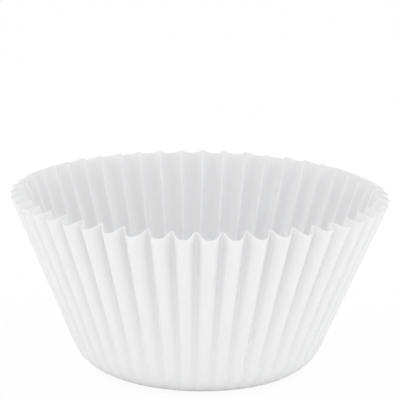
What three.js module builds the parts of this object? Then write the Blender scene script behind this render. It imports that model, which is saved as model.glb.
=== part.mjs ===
// A cupcake liner: one round sheet of greaseproof paper, pressed into a pleated cup.
//
// Millimetres, +Z up. The origin is the middle of the base's underside, so the cup stands on z = 0.
// A ridge of the pleats lies on each of the X and Y axes.

import * as THREE from "three";

// The cup, measured over the ridges of its pleats
const MOUTH_DIAMETER = 72; // across the ridges at the cut edge
const CUP_HEIGHT = 33.5; // up to the cut edge at a ridge
const BASE_DIAMETER = 33; // the flat disc inside the heel
const HEEL_RADIUS = 8; // the round between base and wall, on its outside
const PAPER_THICKNESS = 0.1;

// The pleats
const PLEAT_COUNT = 48;
const PLEAT_DEPTH = 2.6; // ridge to valley at the cut edge, square to the wall
const FOLD_TIGHTNESS = 2.1; // 1 folds a plain V; more gives broad round ridges and tight valleys
const RUN_OUT = 1.1; // 1 deepens the pleats evenly on the way up; more keeps them faint near the heel

// Facets
const FACETS_PER_PLEAT = 6;
const HEEL_STEPS = 4;
const WALL_STEPS = 4;

const PAPER_COLOUR = 0xf3f2ef;

const mouthRadius = MOUTH_DIAMETER / 2;
const baseRadius = BASE_DIAMETER / 2;
const columns = PLEAT_COUNT * FACETS_PER_PLEAT;

// The half section over the ridges: from the base's edge the heel turns up, until it climbs as
// steeply as the straight wall that runs on from it to the cut edge.
const across = mouthRadius - baseRadius;
const up = CUP_HEIGHT - HEEL_RADIUS;
const wallClimb = Math.atan2(up, across) + Math.asin(HEEL_RADIUS / Math.hypot(across, up));

// A station is a place on that section: its radius and height, the angle at which the paper climbs
// there, and the length of paper between it and the base's edge.
function heelStation(share) {
  const climb = share * wallClimb;
  return {
    radius: baseRadius + HEEL_RADIUS * Math.sin(climb),
    height: HEEL_RADIUS * (1 - Math.cos(climb)),
    climb,
    paper: HEEL_RADIUS * climb,
  };
}

function wallStation(share) {
  const foot = heelStation(1);
  const wallLength = Math.hypot(mouthRadius - foot.radius, CUP_HEIGHT - foot.height);
  return {
    radius: THREE.MathUtils.lerp(foot.radius, mouthRadius, share),
    height: THREE.MathUtils.lerp(foot.height, CUP_HEIGHT, share),
    climb: wallClimb,
    paper: foot.paper + share * wallLength,
  };
}

const shares = (steps) => Array.from({ length: steps + 1 }, (_, step) => step / steps);
const stations = [
  ...shares(HEEL_STEPS).map(heelStation),
  ...shares(WALL_STEPS).slice(1).map(wallStation),
];
const paperLength = stations.at(-1).paper;

// The sheet was flat and round, so it has more paper to take up the further it is from the base:
// the pleats start from nothing at the base's edge and deepen up to the cut edge.
function pleatDepth(station) {
  return PLEAT_DEPTH * (station.paper / paperLength) ** RUN_OUT;
}

// The fold at a station, unrolled: around is the way along the ring from the first ridge, and sink
// is how far the paper lies inside the ridges.
function foldPoint(station, column) {
  const pleat = column / FACETS_PER_PLEAT;
  const offRidge = 2 * Math.abs(pleat - Math.round(pleat));
  return new THREE.Vector2(
    (2 * Math.PI * station.radius * column) / columns,
    pleatDepth(station) * offRidge ** FOLD_TIGHTNESS,
  );
}

// The same fold on the sheet's inner face: each corner moves along its mitre, so the paper keeps
// its thickness on the flanks and around the folds.
function innerFoldPoint(station, column) {
  const corner = foldPoint(station, column);
  const before = foldPoint(station, column - 1);
  const after = foldPoint(station, column + 1);
  const quarterTurn = (facet) => new THREE.Vector2(-facet.y, facet.x).normalize();
  const normalBefore = quarterTurn(corner.clone().sub(before));
  const normalAfter = quarterTurn(after.sub(corner));
  const mitre = PAPER_THICKNESS / (1 + normalBefore.dot(normalAfter));
  return corner.addScaledVector(normalBefore.add(normalAfter), mitre);
}

// Rolls a fold point back onto the cup. Sinking is square to the climbing paper, which is why the
// cut edge stands a little higher in the valleys than on the ridges.
function rolledPoint(station, { x: around, y: sink }) {
  const angle = around / station.radius;
  const radius = station.radius - sink * Math.sin(station.climb);
  return new THREE.Vector3(
    radius * Math.cos(angle),
    radius * Math.sin(angle),
    station.height + sink * Math.cos(station.climb),
  );
}

function ring(station, fold) {
  return Array.from({ length: columns }, (_, column) => rolledPoint(station, fold(station, column)));
}

// Skins rings of equal count into one closed body, with a centre point to close each end.
function loftGeometry(rings, startCentre, endCentre) {
  const positions = [startCentre, ...rings.flat(), endCentre].flatMap((point) => point.toArray());
  const start = 0;
  const end = rings.length * columns + 1;
  const vertex = (level, column) => 1 + level * columns + (column % columns);
  const indices = [];
  for (let column = 0; column < columns; column++) {
    indices.push(start, vertex(0, column + 1), vertex(0, column));
    for (let level = 1; level < rings.length; level++) {
      const [a, b] = [vertex(level - 1, column), vertex(level - 1, column + 1)];
      const [c, d] = [vertex(level, column + 1), vertex(level, column)];
      indices.push(a, b, c, a, c, d);
    }
    indices.push(end, vertex(rings.length - 1, column), vertex(rings.length - 1, column + 1));
  }
  const geometry = new THREE.BufferGeometry();
  geometry.setAttribute("position", new THREE.Float32BufferAttribute(positions, 3));
  geometry.setIndex(indices);
  geometry.computeVertexNormals();
  return geometry;
}

// The sheet's outer face runs up to the cut edge and its inner face back down to the base.
function linerGeometry() {
  const outerRings = stations.map((station) => ring(station, foldPoint));
  const innerRings = stations.toReversed().map((station) => ring(station, innerFoldPoint));
  const underside = new THREE.Vector3(0, 0, 0);
  const floor = new THREE.Vector3(0, 0, PAPER_THICKNESS);
  return loftGeometry([...outerRings, ...innerRings], underside, floor);
}

const paper = new THREE.MeshStandardMaterial({
  color: PAPER_COLOUR,
  roughness: 0.9,
  metalness: 0,
  flatShading: true,
});

const liner = new THREE.Mesh(linerGeometry(), paper);
liner.name = "liner";

const cupcakeLiner = new THREE.Group();
cupcakeLiner.name = "cupcake_liner";
cupcakeLiner.add(liner);

export default cupcakeLiner;
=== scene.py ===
"""A white pleated cupcake liner, standing on a white sweep under soft studio light.

The sheet is modelled finer than its solid and stands in its place. Lengths are in metres.
"""

import math

import bpy
import numpy as np
from mathutils import Matrix, Vector


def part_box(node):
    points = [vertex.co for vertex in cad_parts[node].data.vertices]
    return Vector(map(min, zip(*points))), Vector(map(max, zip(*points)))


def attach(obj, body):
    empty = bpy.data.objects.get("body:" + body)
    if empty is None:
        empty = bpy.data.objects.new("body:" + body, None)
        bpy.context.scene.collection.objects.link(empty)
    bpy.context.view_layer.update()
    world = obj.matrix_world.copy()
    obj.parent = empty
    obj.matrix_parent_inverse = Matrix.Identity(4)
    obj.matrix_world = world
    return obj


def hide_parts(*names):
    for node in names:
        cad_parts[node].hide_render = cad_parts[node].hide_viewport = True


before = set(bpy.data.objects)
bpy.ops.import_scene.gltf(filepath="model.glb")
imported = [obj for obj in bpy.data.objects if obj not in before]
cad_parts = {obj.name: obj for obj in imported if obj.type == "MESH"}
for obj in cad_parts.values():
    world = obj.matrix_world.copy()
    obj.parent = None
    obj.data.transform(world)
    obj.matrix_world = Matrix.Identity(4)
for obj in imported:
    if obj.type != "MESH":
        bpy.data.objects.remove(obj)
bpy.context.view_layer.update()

MM = 0.001

# The liner's form, as its solid has it
BASE_RADIUS = 16.5 * MM
HEEL_RADIUS = 8 * MM
RIDGE_HEIGHT = 33.5 * MM
PAPER_THICKNESS = 0.1 * MM
PLEAT_COUNT = 48
PLEAT_DEPTH = 2.6 * MM

# How a pleat folds, and how it deepens on its way from the base's edge to the cut edge
FOLD_TIGHTNESS = 2.6  # 1 folds a plain V; more gives broad round ridges and steeper flanks
VALLEY_ROUND = 0.2  # the share of each flank that the round bottom of a valley takes
RUN_OUT = 0.95  # 1 deepens the pleats evenly; less deepens them sooner
HEEL_EASE = 0.28  # the share of the paper over which the pleats ease in from the base's edge

# How finely the sheet is divided
BASE_RINGS = 5
HEEL_RINGS = 16
WALL_RINGS = 20
# Places across half a pleat, from the ridge at 0 to the valley at 1
HALF_FOLD = (0, 0.18, 0.36, 0.52, 0.65, 0.75, 0.83, 0.9, 0.955, 1)

# How unevenly hands and press leave the folds, at the cut edge
SWAY = 0.022  # of a pleat, along the ring
BOW = 0.011  # of a pleat, along the ring, and most of it halfway up
RIDGE_DIP = 0.07 * MM  # the most that a ridge lies inside the solid's
VALLEY_DIP = 0.12 * MM  # the most that a valley is deeper or shallower
EDGE_TRIM = 0.08 * MM
TRIM_REACH = 6  # the higher, the closer the uneven trim keeps to the cut edge
SEED = 7

# Greaseproof paper: a noise's scale is roughly the number of its features in a metre
PAPER_TONES = ((0.3, (0.856, 0.857, 0.863, 1)), (0.7, (0.866, 0.867, 0.872, 1)))  # by the cloud's level
DRAWN_OUT = (1, 1, 0.3)  # clouds and cockles are drawn out along the cup's axis
CLOUD = {"Scale": 260, "Detail": 3, "Roughness": 0.6}
COCKLE = {"Scale": 420, "Detail": 2}
FIBRE = {"Scale": 2600, "Detail": 4, "Roughness": 0.65, "Distortion": 1.2}
COCKLE_BUMP = {"Strength": 0.15, "Distance": 0.03 * MM}
FIBRE_BUMP = {"Strength": 0.25, "Distance": 0.02 * MM}
FIBRE_ROUGHNESS = {"From Min": 0.3, "From Max": 0.7, "To Min": 0.74, "To Max": 0.92}
PAPER_SPECULAR = 0.3
PAPER_GLOW = {"Subsurface Weight": 0.15, "Subsurface Radius": (1, 1, 1), "Subsurface Scale": 0.1 * MM}

# The sweep and the light
WHITE = (1, 1, 1, 1)
SWEEP_HALF = 1.5  # half its width
SWEEP_CLEARANCE = 0.02 * MM  # below the liner's base
SWEEP_COLOUR = (0.95, 0.95, 0.95, 1)
SWEEP_WHITE_SHARE = 0.93  # of what the camera sees of the sweep; the rest shows the shadow
ROOM_STRENGTH = 0.9
# Each softbox: its name, place, size and power in watts
SOFTBOXES = (
    ("left_box", (-0.7, -0.15, 0.45), (0.8, 0.8), 1),
    ("right_box", (0.7, -0.15, 0.45), (0.8, 0.8), 1),
    ("front_box", (0, -1, 0.16), (1.2, 0.3), 0.6),
    ("back_box", (0, 1, 0.3), (1.2, 0.4), 0.2),
)

# The photograph's camera, found by fitting its outline and folds
CAMERA_DISTANCE = 417.3 * MM
CAMERA_ELEVATION = 0.2368
CAMERA_TURN = 0.053
CAMERA_ROLL = 0.02
CAMERA_CLIP_START = 10 * MM
AIM_HEIGHT = 32.2 * MM
LENS = 197.8
SENSOR = 36.0


def profile(mouth_radius):
    """The half section over the ridges, as arrays: radius, height, climb and length of paper."""
    across = mouth_radius - BASE_RADIUS
    up = RIDGE_HEIGHT - HEEL_RADIUS
    wall_climb = math.atan2(up, across) + math.asin(HEEL_RADIUS / math.hypot(across, up))

    base = np.linspace(0, 1, BASE_RINGS + 1)[1:-1] * BASE_RADIUS
    turn = np.linspace(0, wall_climb, HEEL_RINGS + 1)
    heel_radius = BASE_RADIUS + HEEL_RADIUS * np.sin(turn)
    heel_height = HEEL_RADIUS * (1 - np.cos(turn))
    wall = np.linspace(0, 1, WALL_RINGS + 1)[1:]
    foot_radius, foot_height = heel_radius[-1], heel_height[-1]
    wall_length = math.hypot(mouth_radius - foot_radius, RIDGE_HEIGHT - foot_height)
    wall_radius = foot_radius + wall * (mouth_radius - foot_radius)
    wall_height = foot_height + wall * (RIDGE_HEIGHT - foot_height)
    wall_paper = HEEL_RADIUS * wall_climb + wall * wall_length

    radius = np.concatenate([base, heel_radius, wall_radius])
    height = np.concatenate([0 * base, heel_height, wall_height])
    climb = np.concatenate([0 * base, turn, 0 * wall + wall_climb])
    paper = np.concatenate([0 * base, HEEL_RADIUS * turn, wall_paper])
    return radius, height, climb, paper


def fold_columns():
    """Each column's pleat number with its fraction, and how far it lies from its ridge, 0 to 1."""
    half = np.array(HALF_FOLD)
    one_pleat = np.concatenate([half, 2 - half[-2:0:-1]]) / 2
    pleat = (np.arange(PLEAT_COUNT)[:, None] + one_pleat).ravel()
    off_ridge = 2 * np.abs(pleat - np.round(pleat))
    return pleat, off_ridge


def fold_depth(off_ridge):
    """The fold from ridge to valley, 0 to 1: a broad round ridge, a steep flank, a small round valley."""
    flank_end = 1 - VALLEY_ROUND
    slope = FOLD_TIGHTNESS * flank_end ** (FOLD_TIGHTNESS - 1)
    bottom = flank_end**FOLD_TIGHTNESS + slope * VALLEY_ROUND / 2
    rounded = bottom - slope * (1 - off_ridge) ** 2 / (2 * VALLEY_ROUND)
    return np.where(off_ridge < flank_end, off_ridge**FOLD_TIGHTNESS, rounded) / bottom


def eased(share):
    """A smooth step: 0 and level at a share of 0, 1 and level at a share of 1."""
    return share * share * (3 - 2 * share)


def fold_noise(rng, pleat, off_ridge):
    """A random value at each ridge and each valley, eased across the flanks between them."""
    ridges = rng.uniform(-1, 1, PLEAT_COUNT)
    valleys = rng.uniform(-1, 1, PLEAT_COUNT)
    at_ridge = ridges[np.round(pleat).astype(int) % PLEAT_COUNT]
    at_valley = valleys[np.floor(pleat).astype(int)]
    return at_ridge * (1 - eased(off_ridge)), at_valley * eased(off_ridge)


def mitre(around, sink):
    """The way from each corner of the fold to the sheet's other face, along the mitre of its two facets."""
    closing_step = around[:, :1] + around[:, 1:2]  # the first step, mirrored at the first ridge
    step_around = np.concatenate([np.diff(around, axis=1), closing_step], 1)
    step_sink = np.roll(sink, -1, axis=1) - sink
    after = np.stack([-step_sink, step_around]) / np.hypot(step_around, step_sink)
    before = np.roll(after, 1, axis=2)
    return PAPER_THICKNESS * (before + after) / (1 + (before * after).sum(0))


def sheet_vertices(mouth_radius):
    """The rings of both faces, from the base out to the cut edge and back, as (ring, column, xyz)."""
    radius, height, climb, paper = (values[:, None] for values in profile(mouth_radius))
    pleat, off_ridge = fold_columns()
    grown = (paper / paper[-1]) ** RUN_OUT
    rng = np.random.default_rng(SEED)

    sway_ridge, sway_valley = fold_noise(rng, pleat, off_ridge)
    bow_ridge, bow_valley = fold_noise(rng, pleat, off_ridge)
    dip_ridge, dip_valley = fold_noise(rng, pleat, off_ridge)
    trim_ridge, trim_valley = fold_noise(rng, pleat, off_ridge)

    sway = SWAY * grown * (sway_ridge + sway_valley)
    bow = BOW * np.sin(math.pi * grown) * (bow_ridge + bow_valley)
    around = 2 * math.pi * radius * (pleat + sway + bow) / PLEAT_COUNT
    depth = PLEAT_DEPTH * grown * eased(np.minimum(paper / (HEEL_EASE * paper[-1]), 1))
    dip = RIDGE_DIP * (dip_ridge + 1) / 2 * (1 - off_ridge) + VALLEY_DIP * dip_valley
    sink = depth * fold_depth(off_ridge) + grown * dip
    trim = EDGE_TRIM * grown**TRIM_REACH * (trim_ridge + trim_valley)

    def rolled(around, sink):
        angle = around / radius
        r = radius - sink * np.sin(climb) + trim * np.cos(climb)
        z = height + sink * np.cos(climb) + trim * np.sin(climb)
        return np.stack([r * np.cos(angle), r * np.sin(angle), z], 2)

    mitre_around, mitre_sink = mitre(around, sink)
    outer = rolled(around, sink)
    inner = rolled(around + mitre_around, sink + mitre_sink)
    return np.concatenate([outer, inner[::-1]])


def build_sheet(mouth_radius):
    """One closed skin: the outer face out to the cut edge and the inner face back to the base."""
    rings = sheet_vertices(mouth_radius)
    ring_count, columns = rings.shape[:2]
    vertices = np.concatenate([[[0, 0, 0]], rings.reshape(-1, 3), [[0, 0, PAPER_THICKNESS]]])
    underside_centre, floor_centre = 0, len(vertices) - 1

    index = 1 + np.arange(ring_count * columns).reshape(ring_count, columns)
    ahead = np.roll(index, -1, axis=1)
    quads = np.stack([index[:-1], ahead[:-1], ahead[1:], index[1:]], 2).reshape(-1, 4)
    underside = [(underside_centre, b, a) for a, b in zip(index[0], ahead[0])]
    floor = [(floor_centre, a, b) for a, b in zip(index[-1], ahead[-1])]

    mesh = bpy.data.meshes.new("pleated_sheet")
    mesh.from_pydata(vertices.tolist(), [], underside + quads.tolist() + floor)
    mesh.shade_smooth()
    outer_rim, inner_rim = index[ring_count // 2 - 1], index[ring_count // 2]
    mark_cut_edge(mesh, set(outer_rim.tolist()), set(inner_rim.tolist()))
    mesh.update()
    sheet = bpy.data.objects.new("pleated_sheet", mesh)
    bpy.context.scene.collection.objects.link(sheet)
    return sheet


def mark_cut_edge(mesh, outer_rim, inner_rim):
    """Keeps the two corners of the cut edge sharp."""
    sharp = mesh.attributes.new("sharp_edge", "BOOLEAN", "EDGE")
    for edge in mesh.edges:
        ends = set(edge.vertices)
        if ends <= outer_rim or ends <= inner_rim:
            sharp.data[edge.index].value = True


def node(tree, kind, inputs=None, **settings):
    """Adds a node; an input that is another node's output is linked, and any other is a value."""
    new = tree.nodes.new(kind)
    for name, value in settings.items():
        setattr(new, name, value)
    for name, value in (inputs or {}).items():
        if isinstance(value, bpy.types.NodeSocket):
            tree.links.new(value, new.inputs[name])
        else:
            new.inputs[name].default_value = value
    return new


def new_material(name):
    material = bpy.data.materials.new(name)
    material.use_nodes = True
    material.node_tree.nodes.clear()
    return material, material.node_tree


def paper_material():
    """Matt white greaseproof paper: short fibres, a faint cloud in its tone and a dry, smooth finish."""
    material, tree = new_material("greaseproof_paper")
    place = node(tree, "ShaderNodeTexCoord").outputs["Object"]
    drawn = node(tree, "ShaderNodeMapping", {"Vector": place, "Scale": DRAWN_OUT}).outputs["Vector"]
    cloud = node(tree, "ShaderNodeTexNoise", {"Vector": drawn, **CLOUD}).outputs["Fac"]
    cockle = node(tree, "ShaderNodeTexNoise", {"Vector": drawn, **COCKLE}).outputs["Fac"]
    fibre = node(tree, "ShaderNodeTexNoise", {"Vector": place, **FIBRE}).outputs["Fac"]

    tone = node(tree, "ShaderNodeValToRGB", {"Fac": cloud})
    for element, (position, colour) in zip(tone.color_ramp.elements, PAPER_TONES):
        element.position = position
        element.color = colour
    rough = node(tree, "ShaderNodeMapRange", {"Value": fibre, **FIBRE_ROUGHNESS})
    fine = node(tree, "ShaderNodeBump", {"Height": fibre, **FIBRE_BUMP})
    bump = node(
        tree, "ShaderNodeBump", {"Height": cockle, "Normal": fine.outputs["Normal"], **COCKLE_BUMP}
    )
    shader = node(
        tree,
        "ShaderNodeBsdfPrincipled",
        {
            "Base Color": tone.outputs["Color"],
            "Roughness": rough.outputs["Result"],
            "Normal": bump.outputs["Normal"],
            "Specular IOR Level": PAPER_SPECULAR,
            **PAPER_GLOW,
        },
    )
    node(tree, "ShaderNodeOutputMaterial", {"Surface": shader.outputs["BSDF"]})
    return material


def sweep_material():
    """White paper sweep: the camera sees it near white, and it keeps the liner's soft shadow."""
    material, tree = new_material("white_sweep")
    rays = node(tree, "ShaderNodeLightPath").outputs
    seen = rays["Is Camera Ray"]
    for kind in ("Is Glossy Ray", "Is Transmission Ray"):
        seen = node(tree, "ShaderNodeMath", {0: seen, 1: rays[kind]}, operation="MAXIMUM").outputs[0]
    share = node(tree, "ShaderNodeMath", {0: seen, 1: SWEEP_WHITE_SHARE}, operation="MULTIPLY")
    white = node(tree, "ShaderNodeEmission", {"Color": WHITE, "Strength": 1})
    lit = node(tree, "ShaderNodeBsdfDiffuse", {"Color": SWEEP_COLOUR})
    mixed = node(
        tree, "ShaderNodeMixShader", {0: share.outputs[0], 1: lit.outputs[0], 2: white.outputs[0]}
    )
    node(tree, "ShaderNodeOutputMaterial", {"Surface": mixed.outputs[0]})
    return material


def build_floor():
    near, far = -SWEEP_HALF, SWEEP_HALF
    mesh = bpy.data.meshes.new("sweep")
    mesh.from_pydata([(near, near, 0), (far, near, 0), (far, far, 0), (near, far, 0)], [], [(0, 1, 2, 3)])
    floor = bpy.data.objects.new("sweep", mesh)
    floor.location.z = -SWEEP_CLEARANCE
    floor.data.materials.append(sweep_material())
    bpy.context.scene.collection.objects.link(floor)


def build_world():
    """A pale room all around, which the camera sees as plain white."""
    world = bpy.data.worlds.new("studio")
    bpy.context.scene.world = world
    world.use_nodes = True
    tree = world.node_tree
    tree.nodes.clear()
    seen = node(tree, "ShaderNodeLightPath").outputs["Is Camera Ray"]
    room = node(tree, "ShaderNodeBackground", {"Color": WHITE, "Strength": ROOM_STRENGTH})
    white = node(tree, "ShaderNodeBackground", {"Color": WHITE, "Strength": 1})
    mixed = node(tree, "ShaderNodeMixShader", {0: seen, 1: room.outputs[0], 2: white.outputs[0]})
    node(tree, "ShaderNodeOutputWorld", {"Surface": mixed.outputs[0]})


def build_softbox(name, place, size, power):
    """A soft lamp aimed at the liner's middle, which the camera does not see."""
    light = bpy.data.lights.new(name, "AREA")
    light.shape = "RECTANGLE"
    light.size, light.size_y = size
    light.energy = power
    lamp = bpy.data.objects.new(name, light)
    lamp.location = place
    lamp.visible_camera = False
    aim = Vector((0, 0, RIDGE_HEIGHT / 2)) - lamp.location
    lamp.rotation_euler = aim.to_track_quat("-Z", "Y").to_euler()
    bpy.context.scene.collection.objects.link(lamp)


def build_camera():
    """The camera looks level along its turn, from its elevation, and is then rolled a little."""
    outward = Vector((-math.sin(CAMERA_TURN), -math.cos(CAMERA_TURN), 0))
    back = outward * math.cos(CAMERA_ELEVATION) + Vector((0, 0, math.sin(CAMERA_ELEVATION)))
    level = Vector((0, 0, 1)).cross(back).normalized()
    upright = back.cross(level)
    right = level * math.cos(CAMERA_ROLL) + upright * math.sin(CAMERA_ROLL)
    up = upright * math.cos(CAMERA_ROLL) - level * math.sin(CAMERA_ROLL)
    camera = bpy.data.cameras.new("camera")
    camera.sensor_width = SENSOR
    camera.lens = LENS
    camera.clip_start = CAMERA_CLIP_START
    holder = bpy.data.objects.new("camera", camera)
    place = Vector((0, 0, AIM_HEIGHT)) + back * CAMERA_DISTANCE
    rotation = Matrix((right, up, back)).transposed().to_4x4()
    holder.matrix_world = Matrix.Translation(place) @ rotation
    bpy.context.scene.collection.objects.link(holder)
    bpy.context.scene.camera = holder


bpy.context.scene.view_settings.view_transform = "Standard"

mouth_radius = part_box("liner")[1].x
sheet = build_sheet(mouth_radius)
sheet.data.materials.append(paper_material())
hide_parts("liner")
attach(sheet, "root")

build_floor()
build_world()
for softbox in SOFTBOXES:
    build_softbox(*softbox)
build_camera()
